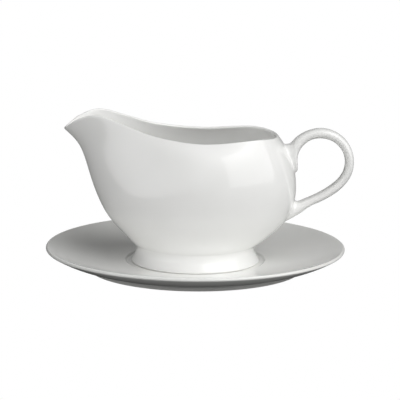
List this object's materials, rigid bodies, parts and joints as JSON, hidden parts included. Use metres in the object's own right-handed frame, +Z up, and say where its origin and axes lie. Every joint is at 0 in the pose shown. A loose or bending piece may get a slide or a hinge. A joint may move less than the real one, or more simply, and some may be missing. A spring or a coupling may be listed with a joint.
{
  "type": "gravy boat",
  "caption": "White porcelain gravy boat with a high pouring spout, a flared foot and a loop handle, standing loose in the well of its round saucer.",
  "frame": {"origin": "centre of the saucer's foot ring, in the plane of the table that it stands on", "axes": "+Z up, +X towards the handle, so the spout points along -X; the object is symmetric across the XZ plane"},
  "size_m": [0.2205, 0.215, 0.1125],
  "materials": {
    "porcelain_boat": "clear glaze over white porcelain, glossy",
    "porcelain_saucer": "clear glaze over white porcelain, glossy, bare on the foot ring's land"
  },
  "bodies": {
    "saucer": {"saucer": "porcelain_saucer"},
    "boat": {"boat_body": "porcelain_boat", "boat_foot": "porcelain_boat", "boat_handle": "porcelain_boat"}
  },
  "joints": [
    {"name": "boat_lift", "type": "slide", "parent": "saucer", "child": "boat", "axis": [0, 0, 1], "range_m": [0, 0.12]}
  ]
}
